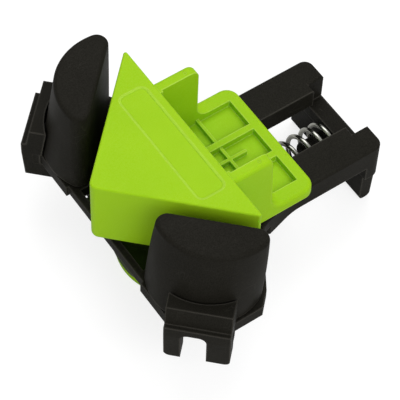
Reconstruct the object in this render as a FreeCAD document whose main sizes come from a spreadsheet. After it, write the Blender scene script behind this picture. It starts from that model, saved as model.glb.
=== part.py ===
import FreeCAD, Part
import math
import os
import re

import Sketcher

# Corner clamp: a black moulded frame with two round-backed swivelling jaws
# and a green spring-loaded slider whose right-angled head presses the work
# into the corner. Millimetres, +Z up, +X from the head's apex to the palm
# plate, origin at the centre of the foot disc's underside. Sizes are taken
# from the apex of the head at rest, which lies disc_back ahead of the origin.
SIZES = (
    ("disc_back", 40.0, "foot disc centre behind the apex"),
    ("foot_radius", 24.8, "foot disc radius"),
    ("foot_thickness", 3.5, "foot disc thickness"),
    ("foot_edge", 0.8, "foot disc edge chamfer"),
    ("overlap", 1.0, "how far joined forms run into each other"),
    ("cut_span", 60.0, "reach of the block that trims the jaw"),
    ("fit_gap", 0.3, "air between pieces that do not touch"),
    ("slide_gap", 0.5, "air between frame and slider, up and down"),
    ("pin_gap", 0.08, "radial running clearance of pins and screws"),
    ("screw_relief", 1.0, "hole left beyond the end of each screw"),
    ("plate_top", 35.6, "top of the frame plate"),
    ("plate_thickness", 5.6, "thickness of the pads and of the plate round the window"),
    ("arm_depth", 11.0, "depth of arms and rails"),
    ("web_front", 6.7, "front face of the web between the pads"),
    ("web_thickness", 4.6, "thickness of the front web"),
    ("web_half", 25.5, "half width of the thinner web"),
    ("pad_front", 5.6, "front face of the pads"),
    ("pad_reach", 30.0, "pad edge outward from the head's leg"),
    ("pad_side", 59.2, "half width over the pads"),
    ("pad_rear", 37.5, "rear end of the pad's side"),
    ("pad_cut_x", 43.2, "rear corner cut of the pad, along"),
    ("pad_cut_y", 53.5, "rear corner cut of the pad, across"),
    ("flare_x", 58.0, "hollow of the flare, along"),
    ("flare_y", 30.5, "hollow of the flare, across"),
    ("flare_end", 76.0, "place where the flare meets the arm"),
    ("flare_hollow", 10.0, "radius in the hollow of the flare"),
    ("flare_blend", 30.0, "radius where the flare meets the arm"),
    ("rail_front", 14.0, "front end of the rails beside the window"),
    ("rail_outer", 26.5, "half width over the rails"),
    ("rail_end", 57.0, "rear end of the rails' straight sides"),
    ("rail_join", 63.0, "place where the rails run into the flare"),
    ("arm_outer", 25.5, "half width over the arms"),
    ("slot_half", 10.4, "half width of the slot between the arms"),
    ("slot_relief", 1.8, "bevel under the edges of the slot"),
    ("window_front", 9.6, "front edge of the window"),
    ("window_rear", 62.0, "rear edge of the window"),
    ("window_half", 21.5, "half width of the window"),
    ("frame_end", 119.5, "rear end of the arms"),
    ("bar_depth", 7.5, "crossbar, from its inner face to the arms' rear end"),
    ("cross_top", 23.0, "top of the crossbar"),
    ("cross_thickness", 6.0, "height of the crossbar"),
    ("lug_half", 14.4, "half width between the lugs"),
    ("palm_half", 23.4, "half width of the palm plate"),
    ("palm_thickness", 6.0, "thickness of the palm plate"),
    ("palm_step", 0.6, "set-back of the palm plate's inner face"),
    ("palm_taper", 1.0, "taper of the palm plate's outer face"),
    ("arm_corner", 4.0, "corner radius at the arms' ends"),
    ("palm_corner", 2.0, "edge radius along the foot of the palm plate"),
    ("frame_edge", 1.0, "edge radius on top of the frame"),
    ("head_leg", 45.6, "depth of the head from apex to long side"),
    ("head_bottom", 37.8, "underside of the head"),
    ("head_top", 72.0, "top of the head"),
    ("apex_radius", 3.0, "radius of the head's apex"),
    ("tail_radius", 0.9, "radius of the head's two far corners"),
    ("head_edge", 0.8, "edge radius on top of the head"),
    ("nose_radius", 3.0, "edge radius under the head's legs"),
    ("panel_front", 30.0, "front edge of the sunk panel"),
    ("panel_rear", 42.3, "rear edge of the sunk panel"),
    ("panel_half", 27.5, "half length of the sunk panel"),
    ("panel_corner", 3.0, "corner radius of the sunk panel"),
    ("panel_depth", 0.4, "depth of the sunk panel"),
    ("grip_rear", 84.2, "rear face of the grip"),
    ("grip_half", 29.0, "half width of the grip"),
    ("grip_top", 40.2, "top of the grip"),
    ("grip_corner", 5.5, "rear corner radius of the grip"),
    ("grip_edge", 1.8, "edge radius round the grip's rim"),
    ("grip_wall", 5.0, "wall behind the grip's pockets"),
    ("pocket_depth", 3.1, "depth of the grip's pockets"),
    ("pocket_half", 22.3, "half width over the grip's pockets"),
    ("pocket_front", 47.0, "front end of the grip's pockets"),
    ("rib_inner", 6.2, "inner face of the long ribs"),
    ("rib_outer", 9.0, "outer face of the long ribs"),
    ("thin_rib_at", 63.8, "middle of the thin cross ribs"),
    ("thin_rib", 1.3, "thickness of the thin ribs"),
    ("rib_drop", 0.9, "thin ribs' tops below the rim"),
    ("rib_floor", 0.4, "thin ribs' root in the pocket floor"),
    ("free_rib_end", 71.5, "end of the free middle rib"),
    ("horn_inner", 21.4, "inner face of the horns"),
    ("horn_top", 70.7, "top of the horns"),
    ("horn_side", 26.8, "half width over the horns' tops"),
    ("horn_rear", 63.8, "rear face of the horns"),
    ("horn_round", 3.4, "radius on the horn's rear top edge"),
    ("horn_blend", 6.0, "radius between horn and grip"),
    ("neck_front", 10.3, "front of the slider's neck"),
    ("neck_rear", 36.0, "rear of the slider's neck"),
    ("neck_half", 20.5, "half width of the slider's neck"),
    ("neck_deck", 31.0, "top of the neck ahead of the head's carrier"),
    ("carrier_front", 13.0, "front of the carrier under the head"),
    ("carrier_inset", 3.5, "carrier's set-back from the head's legs"),
    ("neck_corner", 3.0, "corner radius of the neck"),
    ("wing_front", 13.0, "front of the guide wings"),
    ("wing_rear", 58.0, "rear of the guide wings"),
    ("wing_half", 24.0, "half width over the guide wings"),
    ("wing_thickness", 3.6, "thickness of the guide wings"),
    ("spring_axis", 14.6, "height of the spring's axis"),
    ("housing_radius", 11.0, "outside of the spring housing"),
    ("housing_front", 15.0, "front end of the spring housing"),
    ("housing_rear", 84.0, "rear end of the spring housing"),
    ("bore_radius", 9.0, "bore of the spring housing"),
    ("bore_end", 62.0, "closed end of the bore"),
    ("block_half", 10.5, "half width of the block over the foot disc"),
    ("block_front", 20.0, "front of the block over the foot disc"),
    ("block_rear", 60.0, "rear of the block over the foot disc"),
    ("spring_radius", 7.5, "spring, axis to wire centre"),
    ("wire_radius", 1.0, "spring wire"),
    ("spring_turns", 8.0, "turns of the spring"),
    ("spigot_radius", 4.3, "spring spigot"),
    ("spigot_reach", 12.5, "length of the spring spigot"),
    ("spigot_bore", 8.5, "blind bore of the spring spigot"),
    ("spigot_nose", 2.0, "nose radius of the spring spigot"),
    ("jaw_gap", 6.0, "rest gap between head and jaw face"),
    ("jaw_foot_round", 22.8, "radius of the jaw's back at its foot"),
    ("jaw_foot_along", 44.9, "centre of the foot's round along the leg"),
    ("jaw_foot_out", 5.1, "centre of the foot's round outward"),
    ("jaw_top_round", 25.0, "radius of the jaw's back at its top"),
    ("jaw_top_along", 47.5, "centre of the top's round along the leg"),
    ("jaw_top_in", 2.2, "centre of the top's round inside the leg"),
    ("jaw_height", 38.1, "height of the jaw"),
    ("jaw_lift", 0.7, "jaw's underside above the frame"),
    ("jaw_corner", 4.5, "corner radius of the jaw"),
    ("jaw_edge", 1.8, "edge radius on the jaw's top"),
    ("pin_along", 46.7, "pin along the head's leg"),
    ("pin_out", 16.0, "pin outward from the head's leg"),
    ("pin_radius", 3.0, "jaw pin"),
    ("pin_depth", 22.0, "pin's reach into the jaw"),
    ("pin_head_radius", 5.0, "head of the jaw pin"),
    ("pin_head", 2.4, "height of the pin's head"),
    ("washer_radius", 6.5, "washer under the jaw"),
    ("washer_gap", 0.1, "air between washer and jaw"),
    ("seat_start", 35.0, "seat's near end along the leg"),
    ("seat_end", 59.6, "seat's far end along the leg"),
    ("seat_in", 19.0, "inner limit of the seat's box before it is hollowed"),
    ("seat_gap", 0.9, "air between jaw back and seat"),
    ("seat_box_top", 50.0, "top of the seat's box"),
    ("seat_box_out", 31.0, "outer face of the seat's box"),
    ("seat_ledge_top", 41.5, "top of the seat's ledge"),
    ("seat_ledge_out", 35.0, "outer face of the seat's ledge"),
    ("seat_ledge_low", 30.0, "lower edge of the seat's ledge"),
    ("groove_low", 31.5, "lower side of the groove along the ledge"),
    ("groove_high", 33.4, "upper side of the groove along the ledge"),
    ("groove_depth", 0.7, "depth of the groove along the ledge"),
    ("seat_leg_out", 33.5, "outer face of the seat's legs"),
    ("seat_leg_low", 20.5, "lower end of the seat's legs"),
    ("hook_in", 24.0, "inner end of the seat's hook under the pad"),
    ("hook_thickness", 3.0, "thickness of the seat's hook"),
    ("arch_start", 40.9, "arch's near side along the leg"),
    ("arch_end", 50.6, "arch's far side along the leg"),
    ("arch_top", 38.0, "crown of the arch"),
    ("arch_in", 27.0, "inner end of the arch"),
    ("arch_corner", 3.0, "corner radius of the arch"),
    ("leg_corner", 2.5, "lower corner radius of the seat's legs"),
    ("screw_radius", 1.6, "shank of the screws"),
    ("screw_head_radius", 3.0, "head of the screws"),
    ("screw_head", 2.2, "height of the screw heads"),
    ("screw_bite", 9.0, "screw's reach into the second piece"),
    ("small_radius", 1.25, "shank of the seat screws"),
    ("small_head_radius", 2.3, "head of the seat screws"),
    ("small_head", 1.6, "height of the seat screws' heads"),
    ("small_bite", 4.4, "reach of the seat screws into the pad"),
    ("guide_sink", 2.6, "sink for the head of the guide screw"),
    ("seat_screw_near", 37.9, "near seat screw along the leg"),
    ("seat_screw_far", 55.0, "far seat screw along the leg"),
    ("seat_screw_out", 26.8, "seat screws outward from the leg"),
    ("head_screw_front", 21.8, "front head screws"),
    ("head_screw_rear", 32.2, "rear head screws"),
    ("head_screw_side", 15.2, "head screws off the middle"),
    ("foot_screw_step", 13.0, "foot screws ahead of and behind centre"),
)
NAMES = {name for name, value, note in SIZES}
DIAGONAL = FreeCAD.Rotation(FreeCAD.Vector(0, 0, 1), 45)
ALONG_X = FreeCAD.Rotation(FreeCAD.Vector(0, 1, 0), 90)
NODES = []

os.makedirs("parts", exist_ok=True)
doc = FreeCAD.newDocument("corner_clamp")
sheet = doc.addObject("Spreadsheet::Sheet", "Sizes")
for row, (name, value, note) in enumerate(SIZES, start=1):
    sheet.set("A%d" % row, name)
    sheet.set("B%d" % row, str(value))
    sheet.set("C%d" % row, note)
    sheet.setAlias("B%d" % row, name)
doc.recompute()


def size(name):
    """Value of one cell of the sheet."""
    return float(sheet.get(name))


def linked(text):
    """Expression text with every size name pointing at its cell."""
    return re.sub(r"[a-z_]\w*", lambda m: ("Sizes." if m.group(0) in NAMES else "") + m.group(0), text)


def bind(target, **sizes):
    """Bind properties of an object to expressions of the sheet's sizes."""
    for path, text in sizes.items():
        target.setExpression(path.replace("__", "."), linked(text))


def new_body(label, rotation=FreeCAD.Rotation(), x="-disc_back", y="0", z="0"):
    """Body of one sub-part, placed from the apex of the head."""
    body = doc.addObject("PartDesign::Body", label)
    body.Label = label
    body.Placement.Rotation = rotation
    bind(body, Placement__Base__x=x, Placement__Base__y=y, Placement__Base__z=z)
    NODES.append(body)
    return body


def new_sketch(body, role, offset):
    """Sketch on one of the body's own planes, moved along its normal."""
    sketch = body.newObject("Sketcher::SketchObject", body.Label + "_sketch")
    plane = next(f for f in body.Origin.OriginFeatures if f.Role == role)
    sketch.AttachmentSupport = [(plane, "")]
    sketch.MapMode = "FlatFace"
    bind(sketch, AttachmentOffset__Base__z=offset)
    return sketch


def polygon(body, role, points, offset="0"):
    """Closed outline whose corners are all bound to the sheet."""
    sketch = new_sketch(body, role, offset)
    count = len(points)
    turn = 2 * math.pi / count
    ring = [FreeCAD.Vector(math.cos(0.3 + i * turn), math.sin(0.3 + i * turn), 0) for i in range(count)]
    for i in range(count):
        sketch.addGeometry(Part.LineSegment(ring[i], ring[(i + 1) % count]), False)
    for i in range(count):
        sketch.addConstraint(Sketcher.Constraint("Coincident", i, 2, (i + 1) % count, 1))
    for i, (across, up) in enumerate(points):
        for kind, start, text in (("DistanceX", ring[i].x, across), ("DistanceY", ring[i].y, up)):
            index = sketch.addConstraint(Sketcher.Constraint(kind, i, 1, start))
            sketch.setExpression("Constraints[%d]" % index, linked(text))
    return sketch


def rectangle(body, role, low_u, high_u, low_v, high_v, offset="0"):
    """Closed rectangle between two pairs of bound coordinates."""
    corners = ((low_u, low_v), (high_u, low_v), (high_u, high_v), (low_u, high_v))
    return polygon(body, role, corners, offset)


def circles(body, role, spots, radius, offset="0"):
    """One circle of the same bound radius at each bound spot."""
    sketch = new_sketch(body, role, offset)
    for index, (across, up) in enumerate(spots):
        middle = FreeCAD.Vector(10.0 * (index + 1), 1, 0)
        sketch.addGeometry(Part.Circle(middle, FreeCAD.Vector(0, 0, 1), 1), False)
        for kind, start, text in (("DistanceX", middle.x, across), ("DistanceY", middle.y, up)):
            number = sketch.addConstraint(Sketcher.Constraint(kind, index, 3, start))
            sketch.setExpression("Constraints[%d]" % number, linked(text))
        number = sketch.addConstraint(Sketcher.Constraint("Radius", index, 1))
        sketch.setExpression("Constraints[%d]" % number, linked(radius))
    return sketch


def settle(body, feature):
    """Recompute, and stop at once if the new feature of a body failed."""
    doc.recompute()
    if not feature.isValid() or feature.Shape.isNull():
        raise RuntimeError("%s: %s failed" % (body.Label, feature.Label))
    return feature


def pad(body, sketch, length, symmetric=False):
    """Add material along the sketch's normal."""
    feature = body.newObject("PartDesign::Pad", "Pad")
    feature.Profile = (sketch, [""])
    if symmetric:
        feature.SideType = "Symmetric"
    bind(feature, Length=length)
    return settle(body, feature)


def cut(body, sketch, length=None, along_normal=False):
    """Remove material against the sketch's normal, or along it."""
    before = body.Shape.Volume
    feature = body.newObject("PartDesign::Pocket", "Pocket")
    feature.Profile = (sketch, [""])
    feature.Reversed = along_normal
    if length is None:
        feature.Type = "ThroughAll"
    else:
        bind(feature, Length=length)
    settle(body, feature)
    if body.Shape.Volume >= before:
        raise RuntimeError(body.Label + ": a cut removed nothing")
    return feature


def spin(body, points):
    """Revolve a profile of (radius, height) points about the body's Z axis."""
    sketch = polygon(body, "XZ_Plane", points)
    feature = body.newObject("PartDesign::Revolution", "Revolution")
    feature.Profile = (sketch, [""])
    feature.ReferenceAxis = (sketch, ["V_Axis"])
    return settle(body, feature)


def edges_where(shape, test):
    """Names of the edges whose end points and middle pass a test."""
    names = []
    for number, edge in enumerate(shape.Edges, start=1):
        ends = [vertex.Point for vertex in edge.Vertexes]
        middle = edge.valueAt((edge.FirstParameter + edge.LastParameter) / 2)
        if test(ends, middle):
            names.append("Edge%d" % number)
    return names


def dress(body, kind, amount, test):
    """Round or bevel the edges of the body that pass a test."""
    base = body.Tip
    names = edges_where(base.Shape, test)
    feature = body.newObject("PartDesign::" + kind, kind)
    feature.Base = (base, names)
    bind(feature, **{"Radius" if kind == "Fillet" else "Size": amount})
    return settle(body, feature)


def near(one, other):
    """Two lengths that are equal within modelling tolerance."""
    return abs(one - other) < 0.01


def upright(ends, x=None, y=None):
    """Edge that stands upright at a given x and half width y."""
    level = near(ends[0].x, ends[-1].x) and near(ends[0].y, ends[-1].y)
    tall = not near(ends[0].z, ends[-1].z)
    here = (x is None or near(ends[0].x, x)) and (y is None or near(abs(ends[0].y), y))
    return level and tall and here


def mirrored(source, label):
    """Right-hand copy of a left-hand sub-part, across the XZ plane."""
    copy = doc.addObject("Part::Mirroring", label)
    copy.Label = label
    copy.Source = source
    copy.Normal = FreeCAD.Vector(0, 1, 0)
    doc.recompute()
    NODES.append(copy)
    return copy


def diagonal_point(along, out, side):
    """Point given along the head's leg and outward from it, in plan."""
    across = "(%s + %s) / sqrt(2)" % (along, out)
    return "(%s - %s) / sqrt(2)" % (along, out), ("-" if side < 0 else "") + across


CROSS_FRONT = "(frame_end - bar_depth)"
SEAT_SPOTS = (("seat_screw_near", "seat_screw_out"), ("seat_screw_far", "seat_screw_out"))
HEAD_SPOTS = (("head_screw_front", "head_screw_side"), ("head_screw_rear", "head_screw_side"),
              ("head_screw_front", "-head_screw_side"), ("head_screw_rear", "-head_screw_side"))
GUIDE_SEAT = CROSS_FRONT + " + palm_step + palm_thickness - guide_sink"
FOOT_SPOTS = (("disc_back - foot_screw_step", "0"), ("disc_back + foot_screw_step", "0"))


def both_sides(half):
    """Closed outline from the points of its left half."""
    return list(half) + [(x, "-(%s)" % y) for x, y in reversed(half)]


def make_frame():
    """Plate with window and slot, arms, crossbar and palm plate."""
    body = new_body("frame")
    half = (("web_front", "web_half"), ("pad_front", "web_half"),
            ("pad_front", "pad_front + pad_reach * sqrt(2)"),
            ("pad_side - pad_reach * sqrt(2)", "pad_side"), ("pad_rear", "pad_side"),
            ("pad_cut_x", "pad_cut_y"), ("flare_x", "flare_y"), ("flare_end", "arm_outer"),
            ("frame_end", "arm_outer"))
    pad(body, polygon(body, "XY_Plane", both_sides(half), "plate_top - plate_thickness"), "plate_thickness")
    join = "flare_y - (rail_join - flare_x) * (flare_y - arm_outer) / (flare_end - flare_x)"
    deep = (("rail_front", "rail_outer"), ("rail_end", "rail_outer"), ("rail_join", join),
            ("flare_end", "arm_outer"), ("frame_end", "arm_outer"))
    pad(body, polygon(body, "XY_Plane", both_sides(deep), "plate_top - arm_depth"), "arm_depth")
    bar = rectangle(body, "XZ_Plane", CROSS_FRONT, "frame_end", "cross_top - cross_thickness",
                    "plate_top - arm_depth")
    pad(body, bar, "2 * arm_outer", symmetric=True)
    palm = ((CROSS_FRONT + " + palm_step", "0"),
            (CROSS_FRONT + " + palm_step + palm_thickness - palm_taper", "0"),
            (CROSS_FRONT + " + palm_step + palm_thickness", "cross_top - cross_thickness / 2"),
            (CROSS_FRONT + " + palm_step", "cross_top - cross_thickness / 2"))
    pad(body, polygon(body, "XZ_Plane", palm), "2 * palm_half", symmetric=True)
    opening = (("window_front", "-window_half"), ("window_rear", "-window_half"),
               ("window_rear", "-slot_half"), (CROSS_FRONT, "-slot_half"),
               (CROSS_FRONT, "-lug_half"), ("frame_end + overlap", "-lug_half"),
               ("frame_end + overlap", "lug_half"), (CROSS_FRONT, "lug_half"),
               (CROSS_FRONT, "slot_half"), ("window_rear", "slot_half"),
               ("window_rear", "window_half"), ("window_front", "window_half"))
    cut(body, polygon(body, "XY_Plane", opening, "plate_top"), "plate_top - cross_top")
    thin = rectangle(body, "XY_Plane", "pad_front", "window_front", "-web_half", "web_half",
                     "plate_top - plate_thickness")
    cut(body, thin, "plate_thickness - web_thickness", along_normal=True)
    for side in (1, -1):
        notch = [diagonal_point(a, d, side) for a, d in (
            ("arch_start", "arch_in"), ("arch_end", "arch_in"),
            ("arch_end", "(pad_reach + overlap)"), ("arch_start", "(pad_reach + overlap)"))]
        cut(body, polygon(body, "XY_Plane", notch, "plate_top"))
    pins = [diagonal_point("pin_along", "pin_out", side) for side in (1, -1)]
    cut(body, circles(body, "XY_Plane", pins, "pin_radius + pin_gap", "plate_top"))
    screws = [diagonal_point(a, d, side) for a, d in SEAT_SPOTS for side in (1, -1)]
    cut(body, circles(body, "XY_Plane", screws, "small_radius + pin_gap", "plate_top - plate_thickness"),
        "small_bite + screw_relief / 2", along_normal=True)
    guide = circles(body, "YZ_Plane", [("0", "spring_axis")], "screw_radius + pin_gap", CROSS_FRONT)
    cut(body, guide, along_normal=True)
    sink = circles(body, "YZ_Plane", [("0", "spring_axis")], "screw_head_radius + pin_gap", "frame_end")
    cut(body, sink, "frame_end - (%s)" % GUIDE_SEAT)
    rear, side = size("frame_end"), size("arm_outer")
    dress(body, "Fillet", "arm_corner", lambda e, m: upright(e, rear, side))
    hollow = (size("flare_x"), size("flare_y"))
    dress(body, "Fillet", "flare_hollow", lambda e, m: upright(e, *hollow))
    blend = (size("flare_end"), size("arm_outer"))
    dress(body, "Fillet", "flare_blend", lambda e, m: upright(e, *blend))
    top, arm_start = size("plate_top"), size("window_rear")
    dress(body, "Fillet", "frame_edge",
          lambda e, m: near(m.z, top) and all(near(p.z, top) and p.x > arm_start for p in e))
    dress(body, "Fillet", "palm_corner",
          lambda e, m: all(near(p.z, 0) for p in e) and near(m.z, 0) and abs(e[0].y - e[-1].y) > 1)
    slot, under = size("slot_half"), top - size("arm_depth")
    bar_front = size("frame_end") - size("bar_depth")
    dress(body, "Chamfer", "slot_relief",
          lambda e, m: near(abs(m.y), slot) and near(m.z, under)
          and near(abs(e[0].x - e[-1].x), bar_front - arm_start))
    return body


def make_head():
    """Right-angled pressing head, horns and ribbed grip in one moulding."""
    body = new_body("slider_head")
    prism = (("0", "0"), ("head_leg", "-head_leg"), ("head_leg", "head_leg"))
    pad(body, polygon(body, "XY_Plane", prism, "head_bottom"), "head_top - head_bottom")
    leg = size("head_leg")
    dress(body, "Fillet", "apex_radius", lambda e, m: upright(e, 0, 0))
    low, top = size("head_bottom"), size("head_top")
    dress(body, "Fillet", "nose_radius",
          lambda e, m: all(near(p.z, low) for p in e) and near(m.z, low) and m.x < leg - 0.01)
    dress(body, "Fillet", "tail_radius", lambda e, m: upright(e, leg, leg))
    dress(body, "Fillet", "head_edge", lambda e, m: all(near(p.z, top) for p in e) and near(m.z, top))
    bottom = "plate_top + slide_gap"
    grip = rectangle(body, "XY_Plane", "head_leg - overlap", "grip_rear", "-grip_half", "grip_half", bottom)
    pad(body, grip, "grip_top - (%s)" % bottom)
    for offset in ("-grip_half", "horn_inner"):
        horn = rectangle(body, "XZ_Plane", "head_leg - overlap", "horn_rear", "grip_top - overlap",
                         "horn_top", offset)
        pad(body, horn, "grip_half - horn_inner")
    horn_end, deck, tip = size("horn_rear"), size("grip_top"), size("horn_top")
    dress(body, "Fillet", "horn_blend",
          lambda e, m: near(m.x, horn_end) and near(m.z, deck) and abs(e[0].y - e[-1].y) > 1)
    dress(body, "Fillet", "horn_round",
          lambda e, m: near(m.x, horn_end) and near(m.z, tip) and abs(e[0].y - e[-1].y) > 1)
    for side in ("", "-"):
        flank = (("%sgrip_half" % side, bottom), ("%s(grip_half + overlap)" % side, bottom),
                 ("%s(grip_half + overlap)" % side, "horn_top"), ("%shorn_side" % side, "horn_top"))
        cut(body, polygon(body, "YZ_Plane", flank, "head_leg"), along_normal=True)
    rear = size("grip_rear")
    dress(body, "Fillet", "grip_corner",
          lambda e, m: all(near(p.x, rear) for p in e) and abs(e[0].z - e[-1].z) > 1)
    dress(body, "Fillet", "grip_edge",
          lambda e, m: near(m.x, rear) and near(m.z, deck) and abs(e[0].y - e[-1].y) > 1)
    pockets = [("pocket_front", "grip_rear - grip_wall", "-rib_inner", "rib_inner"),
               ("pocket_front", "grip_rear - grip_wall", "rib_outer", "pocket_half"),
               ("pocket_front", "grip_rear - grip_wall", "-pocket_half", "-rib_outer")]
    for sizes in pockets:
        cut(body, rectangle(body, "XY_Plane", *sizes, "horn_top"), "horn_top - grip_top + pocket_depth")
    cross = ("thin_rib_at - thin_rib / 2", "thin_rib_at + thin_rib / 2")
    ribs = [cross + ("rib_outer - overlap", "pocket_half + overlap"),
            cross + ("-(pocket_half + overlap)", "-(rib_outer - overlap)"),
            cross + ("-(rib_inner + overlap)", "rib_inner + overlap"),
            ("pocket_front - overlap", "free_rib_end", "-(thin_rib / 2)", "thin_rib / 2")]
    for sizes in ribs:
        rib = rectangle(body, "XY_Plane", *sizes, "grip_top - pocket_depth - rib_floor")
        pad(body, rib, "pocket_depth + rib_floor - rib_drop")
    panel = rectangle(body, "XY_Plane", "panel_front", "panel_rear", "-panel_half", "panel_half", "head_top")
    cut(body, panel, "panel_depth")
    ends = [size("panel_front"), size("panel_rear")]
    long_half = size("panel_half")
    dress(body, "Fillet", "panel_corner",
          lambda e, m: upright(e, None, long_half) and m.z > deck and any(near(m.x, x) for x in ends))
    cut(body, circles(body, "XY_Plane", HEAD_SPOTS, "screw_radius + pin_gap", "head_bottom"),
        "screw_bite + screw_relief", along_normal=True)
    return body


def make_slider_body():
    """Lower moulding: neck through the window, guide wings and spring housing."""
    body = new_body("slider_body")
    tube = circles(body, "YZ_Plane", [("0", "spring_axis")], "housing_radius", "housing_front")
    pad(body, tube, "housing_rear - housing_front")
    block = rectangle(body, "XY_Plane", "block_front", "block_rear", "-block_half", "block_half",
                      "foot_thickness")
    pad(body, block, "spring_axis - foot_thickness")
    wing_top = "plate_top - arm_depth - slide_gap"
    wings = rectangle(body, "XY_Plane", "wing_front", "wing_rear", "-wing_half", "wing_half",
                      wing_top + " - wing_thickness")
    pad(body, wings, "wing_thickness")
    neck = rectangle(body, "XY_Plane", "neck_front", "neck_rear", "-neck_half", "neck_half",
                     wing_top + " - wing_thickness")
    pad(body, neck, "neck_deck - (%s - wing_thickness)" % wing_top)
    slant = "carrier_inset * sqrt(2)"
    side = (("carrier_front", "carrier_front - " + slant), ("neck_half + " + slant, "neck_half"),
            ("neck_rear", "neck_half"))
    pad(body, polygon(body, "XY_Plane", both_sides(side), wing_top), "head_bottom - (%s)" % wing_top)
    front, half = size("neck_front"), size("neck_half")
    dress(body, "Fillet", "neck_corner", lambda e, m: upright(e, front, half))
    bore = circles(body, "YZ_Plane", [("0", "spring_axis")], "bore_radius", "housing_rear")
    cut(body, bore, "housing_rear - bore_end")
    holes = circles(body, "XY_Plane", HEAD_SPOTS, "screw_radius + pin_gap", "head_bottom")
    cut(body, holes)
    heads = circles(body, "XY_Plane", HEAD_SPOTS, "screw_head_radius + pin_gap",
                    wing_top + " - wing_thickness")
    cut(body, heads, "screw_head", along_normal=True)
    feet = circles(body, "XY_Plane", FOOT_SPOTS, "screw_radius + pin_gap", "foot_thickness")
    cut(body, feet, "screw_bite", along_normal=True)
    return body


def make_foot_disc():
    """Round foot under the slider, with sunk screw heads."""
    body = new_body("foot_disc", x="0")
    spin(body, (("0", "0"), ("foot_radius - foot_edge", "0"), ("foot_radius", "foot_edge"),
                ("foot_radius", "foot_thickness - foot_edge"),
                ("foot_radius - foot_edge", "foot_thickness"), ("0", "foot_thickness")))
    spots = (("-foot_screw_step", "0"), ("foot_screw_step", "0"))
    cut(body, circles(body, "XY_Plane", spots, "screw_radius + pin_gap", "foot_thickness"))
    cut(body, circles(body, "XY_Plane", spots, "screw_head_radius + pin_gap"),
        "screw_head", along_normal=True)
    return body


def jaw_cone(body, kind, extra):
    """Loft between the rounds of the jaw's foot and top, larger by extra."""
    foot = circles(body, "XY_Plane", [("jaw_foot_along", "jaw_foot_out")], "jaw_foot_round + " + extra,
                   "plate_top + jaw_lift")
    top = circles(body, "XY_Plane", [("jaw_top_along", "-jaw_top_in")], "jaw_top_round + " + extra,
                  "plate_top + jaw_lift + jaw_height")
    feature = body.newObject("PartDesign::" + kind, kind)
    feature.Profile = (foot, [""])
    feature.Sections = [(top, [""])]
    feature.Ruled = True
    return settle(body, feature)


def make_jaw():
    """Round-backed jaw with a flat clamping face, bored for its pin."""
    body = new_body("jaw_left", DIAGONAL)
    foot = "plate_top + jaw_lift"
    jaw_cone(body, "AdditiveLoft", "0")
    face = rectangle(body, "XY_Plane", "pin_along - cut_span", "pin_along + cut_span", "-cut_span", "jaw_gap",
                     foot)
    cut(body, face, along_normal=True)
    flat, low = size("jaw_gap"), size("plate_top") + size("jaw_lift")
    top = low + size("jaw_height")
    dress(body, "Fillet", "jaw_corner",
          lambda e, m: all(near(p.y, flat) for p in e) and abs(e[0].z - e[-1].z) > 1)
    dress(body, "Fillet", "jaw_edge", lambda e, m: all(near(p.z, top) for p in e) and near(m.z, top))
    hole = circles(body, "XY_Plane", [("pin_along", "pin_out")], "pin_radius + pin_gap", foot)
    cut(body, hole, "pin_depth + fit_gap", along_normal=True)
    return body


def make_seat():
    """Bracket behind the jaw: box, ledge, two legs and a hook under the pad."""
    body = new_body("jaw_seat_left", DIAGONAL)
    under = "plate_top - plate_thickness"
    profile = (("seat_in", "plate_top"), ("seat_in", "seat_box_top"),
               ("seat_box_out", "seat_box_top"), ("seat_box_out", "seat_ledge_top"),
               ("seat_ledge_out", "seat_ledge_top"), ("seat_ledge_out", "groove_high"),
               ("seat_ledge_out - groove_depth", "groove_high"),
               ("seat_ledge_out - groove_depth", "groove_low"),
               ("seat_ledge_out", "groove_low"), ("seat_ledge_out", "seat_ledge_low"),
               ("seat_leg_out", "seat_ledge_low"), ("seat_leg_out", "seat_leg_low"),
               ("pad_reach + fit_gap", "seat_leg_low"), ("pad_reach + fit_gap", under + " - hook_thickness"),
               ("hook_in", under + " - hook_thickness"), ("hook_in", under),
               ("pad_reach + fit_gap", under), ("pad_reach + fit_gap", "plate_top"))
    pad(body, polygon(body, "YZ_Plane", profile, "seat_start"), "seat_end - seat_start")
    jaw_cone(body, "SubtractiveLoft", "seat_gap")
    hollow = circles(body, "XY_Plane", [("jaw_foot_along", "jaw_foot_out")], "jaw_foot_round + seat_gap",
                     "plate_top")
    cut(body, hollow, "jaw_lift", along_normal=True)
    arch = rectangle(body, "XZ_Plane", "arch_start", "arch_end", "seat_leg_low - overlap", "arch_top",
                     "-arch_in")
    cut(body, arch)
    crown, low = size("arch_top"), size("seat_leg_low")
    ends = [size("seat_start"), size("seat_end")]
    dress(body, "Fillet", "arch_corner",
          lambda e, m: all(near(p.z, crown) for p in e) and near(e[0].x, e[-1].x))
    dress(body, "Fillet", "leg_corner", lambda e, m: all(near(p.z, low) for p in e)
          and near(e[0].x, e[-1].x) and any(near(m.x, x) for x in ends))
    cut(body, circles(body, "XY_Plane", SEAT_SPOTS, "small_radius + pin_gap", under))
    return body


def headed_pin(label, x, y, z, radius, head_radius, head, length, rotation=FreeCAD.Rotation()):
    """Turned pin or screw standing on its head, head below the given height."""
    body = new_body(label, rotation, x, y, z)
    spin(body, (("0", "-(%s)" % head), (head_radius, "-(%s)" % head), (head_radius, "0"),
                (radius, "0"), (radius, length), ("0", length)))
    return body


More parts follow.
